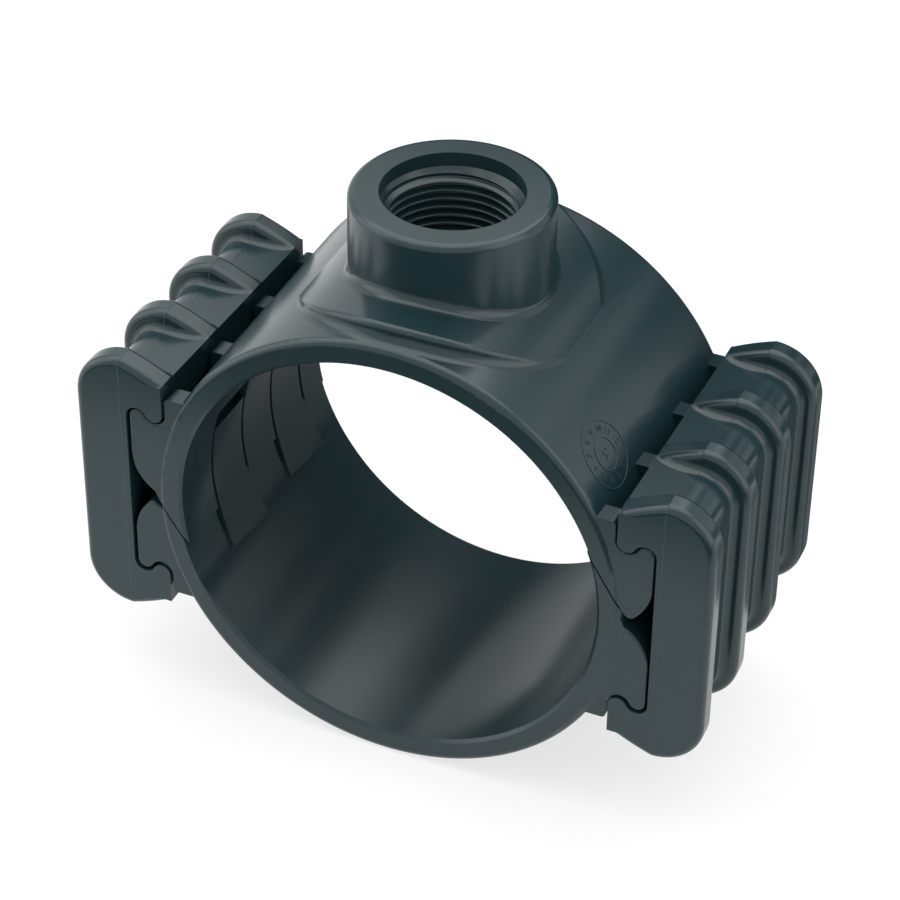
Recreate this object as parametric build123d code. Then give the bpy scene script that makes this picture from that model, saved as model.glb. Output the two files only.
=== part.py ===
from build123d import *
import os
from math import atan2, cos, degrees, hypot, radians, sin

# Tapping saddle for 110 mm pressure pipe with an Rp 1 threaded outlet, in millimetres.
# +Y runs along the pipe and +Z along the outlet. The origin is where the two axes meet.
# Two half shells close round the pipe. Each side has a lug on either half, and a tapered
# clip that slides along the pair of lugs draws the halves together.

# ---- driving dimensions -------------------------------------------------------------
pipe_diameter = 110.0
length = 78.8                      # along the pipe
shell_wall = 6.4
bore_chamfer = 0.8
rim_round = 1.8

outlet_height = 82.0               # pipe axis to the face of the boss
boss_radius = 24.9
boss_round = 1.8
boss_foot = 2.4
mouth_radius = 17.5                # plain counterbore above the thread
mouth_depth = 3.7
thread_root_radius = 16.62         # Rp 1: the helical crests stand inside this bore
thread_length = 19.0
waterway_radius = 14.6
pedestal_radius = 36.3
pedestal_crown_radius = 47.0       # its top is a tighter cylinder along the pipe
pedestal_height = 65.8
pedestal_round = 1.2
pedestal_foot = 2.5

wedge_drop = 2.9                   # how much lower a lug's hook is at the far end
lug_reach = 68.4                   # pipe axis to the outer face of the lugs
lug_setback = 0.3                  # lugs start this far behind the shell's rim
lug_round = 0.5                    # along the edges of their end faces
valley = (61.5, 24.6, 3.0)         # x, z and radius of the groove behind a lug's hook
crown = (66.2, 22.3, 2.23)         # and of the round crown of the hook
rib_top = 29.8                     # the short ribs in the groove between shell and lug
rib_round = 1.2
rib_thickness = 5.6
clip_gap = 0.65                    # between lug and clip
split_gap = 0.4                    # between the two halves
left_split = ((-62.1, -0.5), (-52.9, -14.0))   # from the lugs' tips to the bore
right_split = ((62.1, 2.7), (54.4, 14.9))

clip_reach = 83.1                  # pipe axis to the outer edge of the near fin
clip_spread = 0.6                  # how much further out the clip is at the far end
clip_back = 78.6                   # outer face of the clip between its fins
clip_corner = 8.0
clip_heel = 33.0                   # height of the clip's inner corner
fin_count = 4
fin_thickness = 6.5
fin_crest = (70.6, 38.0)           # highest point of a fin
fin_crown = (65.3, 36.0)           # its sloping inner flank is slightly crowned
fin_front_round = 2.0
fin_back_round = 1.1
front_cove = 2.2                   # rounds where a fin meets the block in front of it
back_cove = 1.5

tongue_starts = (17.5, 50.5)       # from the near end of the saddle
tongue_width = 15.5
tongue_thickness = 3.2
tongue_tip = -11.0                 # height of its tip beyond the split, in its own half
tongue_neck = 13.0                 # below here it flares out into its root
tongue_root = 24.0
tongue_flare = (1.0, 3.0)          # on its near and on its far side
tongue_gap = 1.1                   # beside each tongue
tongue_slot = 69.0                 # degrees from the outlet where its near gap ends
pocket_end = -72.0                 # and where the other half's pocket for it ends
relief_depth = 0.9                 # the bore is eased behind the tongues by a wide round
relief_radius = 45.0
relief_turn = 76.0                 # degrees from the outlet

seal_inner_radius = 18.5
seal_outer_radius = 24.5
seal_thickness = 2.6

# ---- derived values -----------------------------------------------------------------
bore_radius = pipe_diameter / 2
shell_radius = bore_radius + shell_wall
near, far = -length / 2, length / 2
fin_pitch = (length - fin_thickness) / (fin_count - 1)
fin_places = [near + i * fin_pitch for i in range(fin_count)]
half_turn = Rot(0, 180, 0)         # about the pipe: one half's form onto the other's


def drop_at(y):
    """How far the lugs' hooks have come down at this place along the pipe."""
    return wedge_drop * (y - near) / length


def section_at(y, face):
    """A face drawn in x and z, stood square to the pipe."""
    return Pos(0, y, 0) * Rot(90, 0, 0) * face


def prism(face, start, end):
    return extrude(section_at(start, face), amount=end - start, dir=(0, 1, 0))


def tapered(outline, start=near, end=far):
    """Straight run between two sections of an outline that depends on the drop."""
    return loft([section_at(y, outline(drop_at(y))) for y in (start, end)], ruled=True)


def on_circle(circle, degrees_up, drop=0.0, grow=0.0):
    x, z, r = circle
    a = radians(degrees_up)
    return (x + (r + grow) * cos(a), z - drop + (r + grow) * sin(a))


def sector(inner, outer, start_angle, end_angle, start, end):
    """Part of a pipe wall; the angles go from the outlet towards +X."""
    turn = end_angle - start_angle
    reach = 2 * outer
    fan = make_face(Polyline(
        (0, 0),
        *[(reach * sin(radians(start_angle + turn * t)), reach * cos(radians(start_angle + turn * t)))
          for t in (0, 0.5, 1)],
        (0, 0)))
    return prism((Circle(outer) - Circle(inner)) & fan, start, end)


# ---- the half shell, the same moulding above and below but for the outlet ------------
hook_turn = degrees(atan2(crown[1] - valley[1], crown[0] - valley[0]))  # where the arcs join


def hook_line(drop, gap=0.0):
    """Valley and crown arcs of a lug's hook, or of the clip's lip that grips it."""
    low = on_circle(valley, -90, drop, -gap)
    join = on_circle(valley, hook_turn, drop, -gap)
    end = on_circle(crown, 0, drop, gap)
    return [
        ThreePointArc(low, on_circle(valley, (hook_turn - 90) / 2, drop, -gap), join),
        ThreePointArc(join, on_circle(crown, 75, drop, gap), end),
    ], low, end


def lug_outline(drop, pointed):
    """The lug beside the split: a pointed nose on one side of a half, a blunt one on the other."""
    arcs, low, end = hook_line(drop)
    root = (56.0, low[1])
    if pointed:
        nose_top = (lug_reach, 12.5)
        nose = [ThreePointArc(nose_top, (66.2, 4.2), (62.0, 0.4)),
                Polyline((62.0, 0.4), (60.8, -2.4), (58.4, -2.4), root)]
    else:
        nose_top = (lug_reach, 12.0)
        nose = [ThreePointArc(nose_top, (67.0, 7.0), (64.4, 3.3)),
                ThreePointArc((64.4, 3.3), (63.2, 2.7), (62.0, 3.2)),
                Polyline((62.0, 3.2), (57.6, 5.4), root)]
    return make_face([Line(root, low), *arcs, Line(end, nose_top), *nose])


def lug(start, end, pointed):
    """One lug, with the free edges of its end faces rounded."""
    body = tapered(lambda drop: lug_outline(drop, pointed), start, end)
    inner = valley[0] if pointed else 59.0
    free = body.edges().filter_by(
        lambda e: e.center().X > inner and abs(abs(e.center().Y) - end) < 0.1)
    return fillet(free, lug_round)


def rib_outline(drop):
    """Short rib between shell and lug, one beside each fin of the clip."""
    low = on_circle(valley, -90, drop)
    wall = on_circle(valley, 180, drop)
    top = rib_top - drop
    bend = (wall[0] - rib_round, top - rib_round, rib_round)
    return make_face([
        ThreePointArc(low, on_circle(valley, -135, drop), wall),
        Line(wall, on_circle(bend, 0)),
        ThreePointArc(on_circle(bend, 0), on_circle(bend, 45), on_circle(bend, 90)),
        Polyline(on_circle(bend, 90), (49.5, top), (54.0, low[1] - 1), low)])


def shifted(split, clear):
    """The two ends of a split, moved square to its run; the inner end is carried on into the bore."""
    (x, z), (bore_x, bore_z) = split
    run = (bore_x - x, bore_z - z)
    size = hypot(*run)
    side = (-run[1] / size * clear, run[0] / size * clear)
    tip = (x + side[0], z + side[1])
    return tip, (tip[0] + 1.5 * run[0], tip[1] + 1.5 * run[1])


def region(left, right):
    """Everything above the two splits, less half the gap between the halves."""
    left_tip, left_inner = shifted(left, split_gap / 2)
    right_tip, right_inner = shifted(right, -split_gap / 2)
    span = 2 * shell_radius
    return make_face(Polyline(
        left_tip, left_inner, right_inner, right_tip, (span, right_tip[1]), (span, span),
        (-span, span), (-span, left_tip[1]), left_tip))


def half_shell(left, right):
    """One half, drawn as the upper one, between its left-hand and right-hand splits."""
    wall = prism(Circle(shell_radius) - Circle(bore_radius), near, far)
    rims = wall.edges().filter_by(GeomType.CIRCLE)
    wall = chamfer(rims.filter_by(lambda e: abs(e.radius - bore_radius) < 0.1), bore_chamfer)
    rims = wall.edges().filter_by(GeomType.CIRCLE)
    wall = fillet(rims.filter_by(lambda e: abs(e.radius - shell_radius) < 0.1), rim_round)

    start, end = near + lug_setback, far - lug_setback
    slabs = Part() + [Pos(0, y + fin_thickness / 2, 0) * Box(200, rib_thickness, 200)
                      for y in fin_places]
    ribs = tapered(rib_outline, start, end) & slabs
    wall += mirror(lug(start, end, True) + ribs, Plane.YZ)
    wall += lug(start, end, False) + ribs
    half = wall & prism(region(left, right), near, far)

    swing = bore_radius + relief_depth - relief_radius
    half -= Rot(0, relief_turn, 0) * along_pipe(relief_radius, swing)
    for first in tongue_starts:
        start = near + first
        end = start + tongue_width
        half -= sector(bore_radius - 1, bore_radius + tongue_thickness + 0.4,
                       -120, pocket_end, start - tongue_gap, end + tongue_gap)
        half -= sector(bore_radius - 1, bore_radius + tongue_thickness,
                       tongue_slot, 90, start - tongue_gap, end)
        half += tongue(start, end)
    return half


def tongue(start, end):
    """A strip of the bore that reaches past the split, cut to its outline from the side."""
    near_root, far_root = start - tongue_flare[0], end + tongue_flare[1]
    middle = (tongue_neck + tongue_root) / 2
    outline = make_face([
        Polyline((end, tongue_neck), (end, tongue_tip), (start, tongue_tip), (start, tongue_neck)),
        ThreePointArc((start, tongue_neck), (start - tongue_flare[0] / 4, middle), (near_root, tongue_root)),
        Line((near_root, tongue_root), (far_root, tongue_root + 2)),
        ThreePointArc((far_root, tongue_root + 2), (end + tongue_flare[1] / 4, middle), (end, tongue_neck))])
    strip = Circle(bore_radius + tongue_thickness) - Circle(bore_radius)
    return prism(strip, near, far) & extrude(Plane.YZ * outline, amount=bore_radius + tongue_thickness)


# ---- sub-parts ----------------------------------------------------------------------
def upright(radius, bottom, top):
    """Round bar along the outlet."""
    return Pos(0, 0, (bottom + top) / 2) * Cylinder(radius, top - bottom)


def along_pipe(radius, height=0.0):
    return Pos(0, 0, height) * Rot(90, 0, 0) * Cylinder(radius, 2 * length)


def ring_edges(shape, radius, height):
    """Level circular edges of this radius at this height."""
    return shape.edges().filter_by(GeomType.CIRCLE).filter_by(
        lambda e: abs(e.radius - radius) < 0.05 and abs(e.arc_center.Z - height) < 0.05)


def seal_space(inner, outer, depth):
    """Ring-shaped space let into the bore round the waterway."""
    ring = upright(outer, bore_radius / 2, outlet_height) - upright(inner, 0, outlet_height)
    return ring & (along_pipe(bore_radius + depth) - along_pipe(bore_radius))


def rim_edges(shape, radius, slack=0.3):
    """Edges that run round the outlet at this distance, whatever their height."""
    return shape.edges().filter_by(lambda e: all(
        abs(hypot((e @ t).X, (e @ t).Y) - radius) < slack for t in (0, 0.25, 0.5, 0.75, 1)))


def outlet_boss():
    """Boss on a round pedestal whose top and foot both follow the pipe."""
    hollow = along_pipe(bore_radius + shell_wall / 2)
    crown_line = pedestal_height - pedestal_crown_radius
    pedestal = upright(pedestal_radius, 0, outlet_height) & along_pipe(pedestal_crown_radius, crown_line)
    body = pedestal + upright(boss_radius, pedestal_height / 2, outlet_height) - hollow
    foot = rim_edges(body, boss_radius).filter_by(
        lambda e: e.length > 2 * boss_radius and 57 < e.center().Z < outlet_height - 3)
    body = fillet(foot, boss_foot)
    rim = rim_edges(body, pedestal_radius).sort_by(lambda e: e.center().Z)[-1:]
    return fillet(rim, pedestal_round)


def upper_saddle():
    body = half_shell(left_split, right_split) + outlet_boss()
    foot = rim_edges(body, pedestal_radius, 1.2).sort_by(lambda e: e.center().Z)[:1]
    body = fillet(foot, pedestal_foot)
    body = fillet(ring_edges(body, boss_radius, outlet_height), boss_round)

    mouth_floor = outlet_height - mouth_depth
    lead_in = mouth_radius - thread_root_radius
    thread_end = mouth_floor - thread_length
    body -= upright(mouth_radius, mouth_floor, outlet_height)
    body -= Pos(0, 0, mouth_floor - lead_in / 2) * Cone(thread_root_radius, mouth_radius, lead_in)
    body -= upright(thread_root_radius, thread_end, mouth_floor)
    body -= upright(waterway_radius, 0, thread_end)
    body -= seal_space(seal_inner_radius, seal_outer_radius, seal_thickness)
    return body


def lower_saddle():
    """The same half without the outlet, turned half round the pipe."""
    turned = [[(-x, -z) for x, z in split] for split in (right_split, left_split)]
    return half_turn * half_shell(*turned)


def outlet_seal():
    return seal_space(seal_inner_radius + 0.1, seal_outer_radius - 0.1, seal_thickness - 0.1)


# ---- the clips ----------------------------------------------------------------------
def mirrored_outline(lines):
    """Close an outline drawn above the split with its mirror image below it."""
    below = [mirror(line, Plane.XZ) for line in lines]
    top_start, top_end = lines[0] @ 0, lines[-1] @ 1
    return make_face([
        *lines, *below,
        Line(top_end, (top_end.X, -top_end.Y)),
        Line(top_start, (top_start.X, -top_start.Y))])


def channel_outline(drop):
    """The inside of the clip: two hooked lips and a flat back."""
    arcs, low, end = hook_line(drop, clip_gap)
    nose = on_circle(valley, 180, drop, -clip_gap)
    rise = ThreePointArc(nose, on_circle(valley, -135, drop, -clip_gap), low)
    return mirrored_outline([Line((nose[0] - 3, nose[1]), nose), rise, *arcs])


def spread_at(drop):
    return clip_spread * drop / wedge_drop


def heel_at(drop):
    return (valley[0] - valley[2] + clip_gap, clip_heel - drop)


def back_outline(drop):
    """The clip between its fins."""
    heel = heel_at(drop)
    side = clip_back + spread_at(drop) - clip_corner
    corner = (side, heel[1] - clip_corner, clip_corner)
    return mirrored_outline([
        Line(heel, (side, heel[1])),
        ThreePointArc((side, heel[1]), on_circle(corner, 45), on_circle(corner, 0))])


def fin_outline(drop):
    heel = heel_at(drop)
    crest = (fin_crest[0], fin_crest[1] - drop)
    r = clip_reach + spread_at(drop) - fin_crest[0]
    shoulder = (crest[0], crest[1] - r, r)
    return mirrored_outline([
        ThreePointArc(heel, (fin_crown[0], fin_crown[1] - drop), crest),
        ThreePointArc(crest, on_circle(shoulder, 45), on_circle(shoulder, 0))])


def joint_edges(body, place, drop):
    """Where the face of a fin meets the block beside it, out to the block's back."""
    back, top = clip_back + spread_at(drop) + 0.05, clip_heel - drop + 0.05
    return body.edges().filter_by(lambda e: e.center().X > valley[0] and all(
        abs((e @ s).Y - place) < 0.02 and (e @ s).X < back and abs((e @ s).Z) < top
        for s in (0, 0.25, 0.5, 0.75, 1)))


def clip():
    """The right-hand clip; its lips grip the upper and the lower lug."""
    body = tapered(back_outline)
    for place in fin_places:
        end = place + fin_thickness
        fin = prism(fin_outline(drop_at(place)), place, end)
        for y, size in ((place, fin_front_round), (end, fin_back_round)):
            outer = fin.edges().filter_by(lambda e: e.center().X > valley[0])
            fin = fillet(outer.filter_by(lambda e: abs(e.center().Y - y) < 0.01), size)
        body += fin
    fronts = [edge for y in fin_places[1:] for edge in joint_edges(body, y, drop_at(y))]
    body = fillet(fronts, front_cove)
    ends = [y + fin_thickness for y in fin_places[:-1]]
    backs = [edge for y in ends for edge in joint_edges(body, y, drop_at(y))]
    body = fillet(backs, back_cove)
    return body - tapered(channel_outline, near, far)


os.makedirs("parts", exist_ok=True)
right = clip()
parts = {
    "upper_saddle": upper_saddle(),
    "lower_saddle": lower_saddle(),
    "outlet_seal": outlet_seal(),
    "right_clip": right,
    "left_clip": mirror(right, Plane.YZ),
}
for name, shape in parts.items():
    print(name, round(shape.volume), len(shape.solids()), shape.is_valid)
    export_step(shape, f"parts/{name}.step")
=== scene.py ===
import bpy, bmesh
from math import cos, hypot, pi, radians, sin
from mathutils import Matrix, Vector


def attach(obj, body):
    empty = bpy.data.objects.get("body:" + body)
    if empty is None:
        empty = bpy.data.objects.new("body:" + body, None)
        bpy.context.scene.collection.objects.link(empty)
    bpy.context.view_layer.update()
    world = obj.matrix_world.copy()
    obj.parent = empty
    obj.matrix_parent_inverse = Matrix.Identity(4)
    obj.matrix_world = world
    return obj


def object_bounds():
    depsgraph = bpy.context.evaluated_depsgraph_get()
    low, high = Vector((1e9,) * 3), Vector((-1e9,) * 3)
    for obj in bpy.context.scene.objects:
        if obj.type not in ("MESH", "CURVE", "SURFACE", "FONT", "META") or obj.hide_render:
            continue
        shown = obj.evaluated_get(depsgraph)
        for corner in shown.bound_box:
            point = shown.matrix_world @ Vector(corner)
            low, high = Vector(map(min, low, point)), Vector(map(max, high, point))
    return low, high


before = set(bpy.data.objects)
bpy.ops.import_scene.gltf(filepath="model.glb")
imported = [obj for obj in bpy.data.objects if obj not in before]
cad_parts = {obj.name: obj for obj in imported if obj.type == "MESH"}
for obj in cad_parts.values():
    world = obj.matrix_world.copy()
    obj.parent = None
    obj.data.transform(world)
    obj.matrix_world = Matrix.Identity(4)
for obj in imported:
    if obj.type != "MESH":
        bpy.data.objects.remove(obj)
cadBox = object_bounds()
print("frame loaded:", sorted(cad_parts))

mm = 0.001
nearFace = cadBox[0][1]
outletFace = cadBox[1][2]


class Wire:  # a node's output that can be used in plain arithmetic
    def __init__(self, finish, socket):
        self.finish = finish
        self.socket = socket

    def math(self, operation, *others):
        values = {0: self, **dict(enumerate(others, 1))}
        return self.finish.wire("ShaderNodeMath", {"operation": operation}, values)

    def __add__(self, other):
        return self.math("ADD", other)

    def __radd__(self, other):
        return self.math("ADD", other)

    def __sub__(self, other):
        return self.math("SUBTRACT", other)

    def __rsub__(self, other):
        return self.finish.wire("ShaderNodeMath", {"operation": "SUBTRACT"}, {0: other, 1: self})

    def __mul__(self, other):
        return self.math("MULTIPLY", other)

    def __rmul__(self, other):
        return self.math("MULTIPLY", other)


class Finish:  # a material, or the world, and its nodes
    def __init__(self, owner, shader="Principled BSDF"):
        owner.use_nodes = True
        self.owner = owner
        self.nodes = owner.node_tree.nodes
        self.links = owner.node_tree.links
        self.shader = self.nodes[shader]

    def wire(self, kind, settings=None, values=None, output=0):
        node = self.nodes.new(kind)
        for key, setting in (settings or {}).items():
            setattr(node, key, setting)
        for key, value in (values or {}).items():
            self.feed(node.inputs[key], value)
        return Wire(self, node.outputs[output])

    def feed(self, socket, value):
        if isinstance(value, Wire):
            self.links.new(value.socket, socket)
        else:
            socket.default_value = value

    def set(self, **sockets):
        for key, value in sockets.items():
            self.feed(self.shader.inputs[key.replace("_", " ")], value)

    def place(self):
        return self.wire("ShaderNodeTexCoord", output="Object")

    def noise(self, scale, detail=2.0):
        return self.wire("ShaderNodeTexNoise", None,
                         {"Vector": self.place(), "Scale": scale, "Detail": detail})

    def axis(self, name):
        return self.wire("ShaderNodeSeparateXYZ", None, {0: self.place()}, name)

    def seen(self):  # 1 for what the camera, a reflection or a clear part shows, 0 for light
        camera, glossy, clear = [self.wire("ShaderNodeLightPath", output=f"Is {kind} Ray")
                                 for kind in ("Camera", "Glossy", "Transmission")]
        return camera.math("MAXIMUM", glossy).math("MAXIMUM", clear)

    def blend(self, factor, first, second):
        return self.wire("ShaderNodeMix", {"data_type": "RGBA"}, {0: factor, 6: first, 7: second}, 2)

    def rise(self, value, high):  # 0 at 0, 1 above high, smooth between them
        return self.wire("ShaderNodeMapRange", {"interpolation_type": "SMOOTHSTEP"},
                         {"Value": value, "From Min": 0.0, "From Max": high})

    def bump(self, height):  # the height is in metres
        self.set(Normal=self.wire("ShaderNodeBump", None, {"Height": height, "Distance": 1.0}))


pvc = {
    "dark": (0.0080, 0.0235, 0.0275, 1),
    "light": (0.0105, 0.0290, 0.0335, 1),
    "cloudScale": 30.0,       # slow drift of colour and roughness
    "cloudDetail": 3.0,
    "roughness": 0.22,
    "roughnessSwing": 0.06,
    "ior": 1.46,
    "peelScale": 420.0,       # faint orange peel of the mould
    "peelDepth": 0.006 * mm,
}
clipPvc = {
    **pvc,
    "witness": 70.6 * mm,     # how far from the pipe's axis the halves of the clip's mould met
    "witnessWidth": 0.16 * mm,
    "witnessDepth": 0.05 * mm,
}
# the dial is the shell's own plastic: rougher for its matte raised marks, and lighter as a painted
# highlight on them
dialPvcPaintedHighlight = {
    **pvc,
    "dark": (0.0200, 0.0420, 0.0470, 1),
    "light": (0.0260, 0.0500, 0.0560, 1),
    "roughness": 0.38,
}


def mouldedPlastic(name, settings):
    finish = Finish(bpy.data.materials.new(name))
    cloud = finish.noise(settings["cloudScale"], settings["cloudDetail"])
    peel = finish.noise(settings["peelScale"])
    swing = settings["roughnessSwing"]
    finish.set(Base_Color=finish.blend(cloud, settings["dark"], settings["light"]),
               Roughness=cloud * swing + (settings["roughness"] - swing / 2),
               IOR=settings["ior"])
    height = peel * settings["peelDepth"]
    if "witness" in settings:  # the mould's fine raised line
        away = (finish.axis("X").math("ABSOLUTE") - settings["witness"]).math("ABSOLUTE")
        line = 1 - finish.rise(away, settings["witnessWidth"])
        height = height + line * settings["witnessDepth"]
    finish.bump(height)
    return finish.owner


rubber = {
    "dark": (0.006, 0.006, 0.006, 1),
    "light": (0.012, 0.012, 0.012, 1),
    "grainScale": 1500.0,
    "grainDepth": 0.02 * mm,
    "roughness": 0.6,
    "roughnessSwing": 0.2,
}


def sealRubber(name, settings):
    finish = Finish(bpy.data.materials.new(name))
    grain = finish.noise(settings["grainScale"])
    swing = settings["roughnessSwing"]
    finish.set(Base_Color=finish.blend(grain, settings["dark"], settings["light"]),
               Roughness=grain * swing + (settings["roughness"] - swing / 2))
    finish.bump(grain * settings["grainDepth"])
    return finish.owner


shellPlastic = mouldedPlastic("shellPlastic", pvc)
clipPlastic = mouldedPlastic("clipPlastic", clipPvc)
dialPlasticPaintedHighlight = mouldedPlastic("dialPlasticPaintedHighlight", dialPvcPaintedHighlight)
nodeFinishes = {
    "upper_saddle": shellPlastic,
    "lower_saddle": shellPlastic,
    "left_clip": clipPlastic,
    "right_clip": clipPlastic,
    "outlet_seal": sealRubber("sealRubber", rubber),
}
for name, material in nodeFinishes.items():
    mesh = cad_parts[name].data
    mesh.materials.clear()
    mesh.materials.append(material)
print("finishes ready")


def finishPiece(name, bm, material, body):
    bmesh.ops.recalc_face_normals(bm, faces=bm.faces)
    mesh = bpy.data.meshes.new(name)
    bm.to_mesh(mesh)
    bm.free()
    mesh.materials.append(material)
    piece = bpy.data.objects.new(name, mesh)
    bpy.context.scene.collection.objects.link(piece)
    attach(piece, body)
    return piece


outletThread = {
    "pitch": 2.309 * mm,
    "rootRadius": 16.62 * mm,
    "depth": 1.479 * mm,
    "round": 0.317 * mm,      # at crests and roots
    "flankAngle": 27.5,
    "rootSteps": (0.2, 0.6, 1.0),    # points along each round, as shares of its turn
    "crestSteps": (1.0, 0.5, 0.0),
    "baseShare": 0.95,        # of the pitch, so that one turn's base stays clear of the next
    "mouthRadius": 17.5 * mm,
    "mouthDepth": 3.7 * mm,
    "length": 19.0 * mm,
    "runOut": 1.2 * mm,       # how far the helix starts below the threaded bore, inside the wall
    "hidden": 0.1 * mm,       # how deep its base sits in the wall
    "stepsPerTurn": 72,
}


def makeOutletThread(settings):
    root, curve, half = settings["rootRadius"], settings["round"], settings["pitch"] / 2
    crestCentre = root - settings["depth"] + curve
    bend = radians(90 - settings["flankAngle"])
    rootArc = [(root - curve + curve * cos(bend * t), half - curve * sin(bend * t))
               for t in settings["rootSteps"]]
    crestArc = [(crestCentre - curve * cos(bend * t), curve * sin(bend * t))
                for t in settings["crestSteps"]]
    upper = [(root + settings["hidden"], half * settings["baseShare"]), *rootArc, *crestArc]
    outline = upper + [(r, -z) for r, z in reversed(upper[:-1])]

    mouthFloor = outletFace - settings["mouthDepth"]
    bottom = mouthFloor - settings["length"] - settings["runOut"]
    turns = (mouthFloor - bottom) / settings["pitch"]
    steps = round(turns * settings["stepsPerTurn"])
    bm = bmesh.new()
    ring = [bm.verts.new((r, 0, bottom + z)) for r, z in outline]
    edges = [bm.edges.new(pair) for pair in zip(ring, ring[1:] + ring[:1])]
    bmesh.ops.spin(bm, geom=ring + edges, axis=(0, 0, 1), angle=2 * pi * turns, steps=steps,
                   dvec=(0, 0, (mouthFloor - bottom) / steps))
    bmesh.ops.holes_fill(bm, edges=[e for e in bm.edges if e.is_boundary])
    for vert in bm.verts:  # the lead-in cone cuts the topmost turns
        radius = hypot(vert.co.x, vert.co.y)
        cone = settings["mouthRadius"] - (mouthFloor - vert.co.z)
        if cone > root:
            cone += settings["hidden"]
        if radius < cone:
            vert.co.x *= cone / radius
            vert.co.y *= cone / radius
    return bm


finishPiece("outletThread", makeOutletThread(outletThread), shellPlastic, "saddle")
print("outlet thread cut")

dateDial = {
    "shellRadius": 61.4 * mm,
    "turn": 54.0,             # degrees from the outlet
    "along": 16.2 * mm,       # from the near face
    "rings": (8.4 * mm, 4.1 * mm),
    "ringSteps": 72,
    "lineWidth": 0.4 * mm,
    "lineTop": 0.6,           # width of a ring's top, as a share of its foot
    "height": 0.16 * mm,
    "sunk": 0.3 * mm,         # how deep its base sits in the shell
    "months": 12,
    "monthRadius": 6.25 * mm,
    "monthSize": 2.3 * mm,
    "year": "24",
    "yearSize": 2.9 * mm,
    "curveSteps": 2,          # how finely the figures' round strokes are drawn
    "merge": 0.001 * mm,
}


def textMesh(bm, words, size, place, turn, settings):
    curve = bpy.data.curves.new("digits", "FONT")
    curve.body = words
    curve.size = size
    curve.align_x = "CENTER"
    curve.align_y = "CENTER"
    curve.resolution_u = settings["curveSteps"]
    holder = bpy.data.objects.new("digits", curve)
    bpy.context.scene.collection.objects.link(holder)
    flat = bpy.data.meshes.new_from_object(holder)
    part = bmesh.new()
    part.from_mesh(flat)
    bmesh.ops.remove_doubles(part, verts=part.verts, dist=settings["merge"])
    raised = bmesh.ops.extrude_face_region(part, geom=part.faces[:])["geom"]
    tops = [v for v in raised if isinstance(v, bmesh.types.BMVert)]
    bmesh.ops.translate(part, verts=tops, vec=(0, 0, settings["sunk"] + settings["height"]))
    bmesh.ops.translate(part, verts=part.verts, vec=(0, 0, -settings["sunk"]))
    bmesh.ops.rotate(part, verts=part.verts, matrix=Matrix.Rotation(turn, 3, "Z"))
    bmesh.ops.translate(part, verts=part.verts, vec=(*place, 0))
    part.to_mesh(flat)
    part.free()
    bm.from_mesh(flat)
    bpy.data.objects.remove(holder)
    bpy.data.curves.remove(curve)
    bpy.data.meshes.remove(flat)


def wrapOnShell(bm, settings):  # a flat drawing laid round the pipe
    radius = settings["shellRadius"]
    for vert in bm.verts:
        angle = radians(settings["turn"]) + vert.co.x / radius
        reach = radius + vert.co.z
        vert.co = (reach * sin(angle), nearFace + settings["along"] + vert.co.y, reach * cos(angle))


def makeDateDial(settings):
    bm = bmesh.new()
    low, high, foot = -settings["sunk"], settings["height"], settings["lineWidth"] / 2
    top = foot * settings["lineTop"]
    for radius in settings["rings"]:
        section = [(radius - foot, low), (radius + foot, low), (radius + top, high), (radius - top, high)]
        ring = [bm.verts.new((r, 0, z)) for r, z in section]
        edges = [bm.edges.new(pair) for pair in zip(ring, ring[1:] + ring[:1])]
        bmesh.ops.spin(bm, geom=ring + edges, axis=(0, 0, 1), angle=2 * pi,
                       steps=settings["ringSteps"], use_merge=True)
    for month in range(settings["months"]):
        turn = -2 * pi * (month + 1) / settings["months"]
        place = (-settings["monthRadius"] * sin(turn), settings["monthRadius"] * cos(turn))
        textMesh(bm, str(month + 1), settings["monthSize"], place, turn, settings)
    textMesh(bm, settings["year"], settings["yearSize"], (0, 0), 0.0, settings)
    wrapOnShell(bm, settings)
    return bm


finishPiece("dateDial", makeDateDial(dateDial), dialPlasticPaintedHighlight, "saddle")
print("date dial raised")

studio = {
    "cameraPlace": (0.237703, -0.556735, 0.452904),
    "cameraRight": (0.916353, 0.400202, 0.011681),
    "cameraUp": (-0.246212, 0.540272, 0.804665),
    "cameraBack": (0.315717, -0.740233, 0.593614),
    "lens": 120.547,
    "sensor": 36.0,
    "clipStart": 0.01,
    "floorDrop": 0.1 * mm,
    "floorSize": 1.5,
    "floorColour": (0.9, 0.9, 0.9, 1),
    "floorRoughness": 0.9,
    "floorGlow": 0.7,         # share of white that the camera sees through the shadow
    "worldLight": 0.75,       # how brightly the world lights the object; it looks white itself
}


def makeCamera(settings):
    data = bpy.data.cameras.new("camera")
    data.lens = settings["lens"]
    data.sensor_width = settings["sensor"]
    data.clip_start = settings["clipStart"]
    camera = bpy.data.objects.new("camera", data)
    turn = Matrix((settings["cameraRight"], settings["cameraUp"], settings["cameraBack"])).transposed()
    camera.matrix_world = Matrix.Translation(settings["cameraPlace"]) @ turn.to_4x4()
    bpy.context.scene.collection.objects.link(camera)
    bpy.context.scene.camera = camera


def makeFloor(settings):
    bm = bmesh.new()
    bmesh.ops.create_grid(bm, x_segments=1, y_segments=1, size=settings["floorSize"])
    bmesh.ops.translate(bm, verts=bm.verts, vec=(0, 0, cadBox[0][2] - settings["floorDrop"]))
    mesh = bpy.data.meshes.new("floor")
    bm.to_mesh(mesh)
    bm.free()
    floor = bpy.data.objects.new("floor", mesh)
    bpy.context.scene.collection.objects.link(floor)
    finish = Finish(bpy.data.materials.new("paleFloor"))
    seen = finish.seen()
    pale, share = settings["floorColour"], settings["floorGlow"]
    behindGlow = [channel * (1 - share) for channel in pale[:3]] + [1]
    finish.set(Base_Color=finish.blend(seen, pale, behindGlow), Roughness=settings["floorRoughness"],
               Emission_Color=(1, 1, 1, 1), Emission_Strength=seen * share)
    mesh.materials.append(finish.owner)


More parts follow.
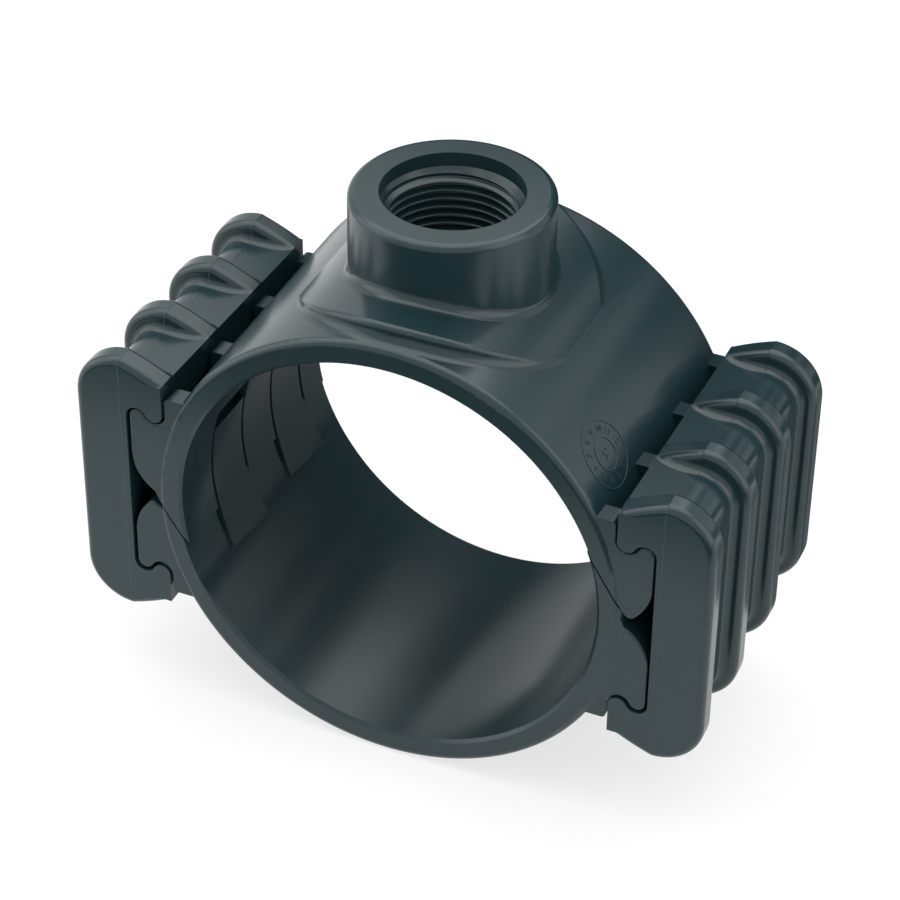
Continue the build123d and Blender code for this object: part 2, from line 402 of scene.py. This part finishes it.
lamps = {
    "topSoftbox": {"place": (-0.1, 0.15, 0.9), "size": (1.4, 1.1), "power": 9.0},
    "leftSoftbox": {"place": (-0.9, -0.3, 0.45), "size": (0.8, 1.0), "power": 3.5},
    "rightSoftbox": {"place": (0.95, -0.1, 0.45), "size": (0.8, 1.0), "power": 3.5},
    "backSoftbox": {"place": (-0.38, 0.72, 0.62), "size": (0.5, 0.4), "power": 0.2},
}


def makeLamp(name, place, size, power):
    data = bpy.data.lights.new(name, "AREA")
    data.shape = "RECTANGLE"
    data.size, data.size_y = size
    data.energy = power
    lamp = bpy.data.objects.new(name, data)
    lamp.location = place
    lamp.rotation_euler = Vector(place).to_track_quat("Z", "Y").to_euler()  # turned to the origin
    bpy.context.scene.collection.objects.link(lamp)


# dark cards that only reflections show: two lie just over the floor, three stand behind the object
lying = cadBox[0][2] + mm
behind = 0.30
black, grey = 0.01, 0.16
cards = {
    "frontCard": {"centre": (0.10, -0.38, lying), "size": (0.70, 0.46), "lean": 0.0, "shade": black},
    "backCard": {"centre": (0.0, behind, 0.1025), "size": (0.40, 0.325), "lean": 90.0, "shade": black},
    "sideCard": {"centre": (0.235, behind, 0.055), "size": (0.07, 0.23), "lean": 90.0, "shade": black},
    "lowCard": {"centre": (0.365, behind, -0.015), "size": (0.19, 0.09), "lean": 90.0, "shade": black},
    # the grey under card is painted shade: reflections show it as the floor shaded behind the object
    "underShadeCard": {"centre": (0.02, 0.175, lying), "size": (0.40, 0.25), "lean": 0.0, "shade": grey},
}


def makeCard(name, centre, size, lean, shade):
    bm = bmesh.new()
    bmesh.ops.create_grid(bm, x_segments=1, y_segments=1, size=0.5)  # one metre square
    bmesh.ops.scale(bm, verts=bm.verts, vec=(*size, 1))
    bmesh.ops.rotate(bm, verts=bm.verts, matrix=Matrix.Rotation(radians(lean), 3, "X"))
    bmesh.ops.translate(bm, verts=bm.verts, vec=centre)
    mesh = bpy.data.meshes.new(name)
    bm.to_mesh(mesh)
    bm.free()
    card = bpy.data.objects.new(name, mesh)
    card.visible_camera = False
    card.visible_diffuse = False
    card.visible_shadow = False
    card.visible_transmission = False
    bpy.context.scene.collection.objects.link(card)
    finish = Finish(bpy.data.materials.new("darkCard"))
    finish.set(Base_Color=(shade, shade, shade, 1), Roughness=1.0, Specular_IOR_Level=0.0)
    mesh.materials.append(finish.owner)


def makeWorld(settings):
    world = bpy.data.worlds.new("studio")
    bpy.context.scene.world = world
    finish = Finish(world, "Background")
    light = settings["worldLight"]
    finish.set(Color=(1, 1, 1, 1), Strength=finish.seen() * (1 - light) + light)


makeCamera(studio)
makeFloor(studio)
for name, card in cards.items():
    makeCard(name, **card)
makeWorld(studio)
for name, lamp in lamps.items():
    makeLamp(name, **lamp)
bpy.context.scene.view_settings.view_transform = "Standard"
print("studio ready")
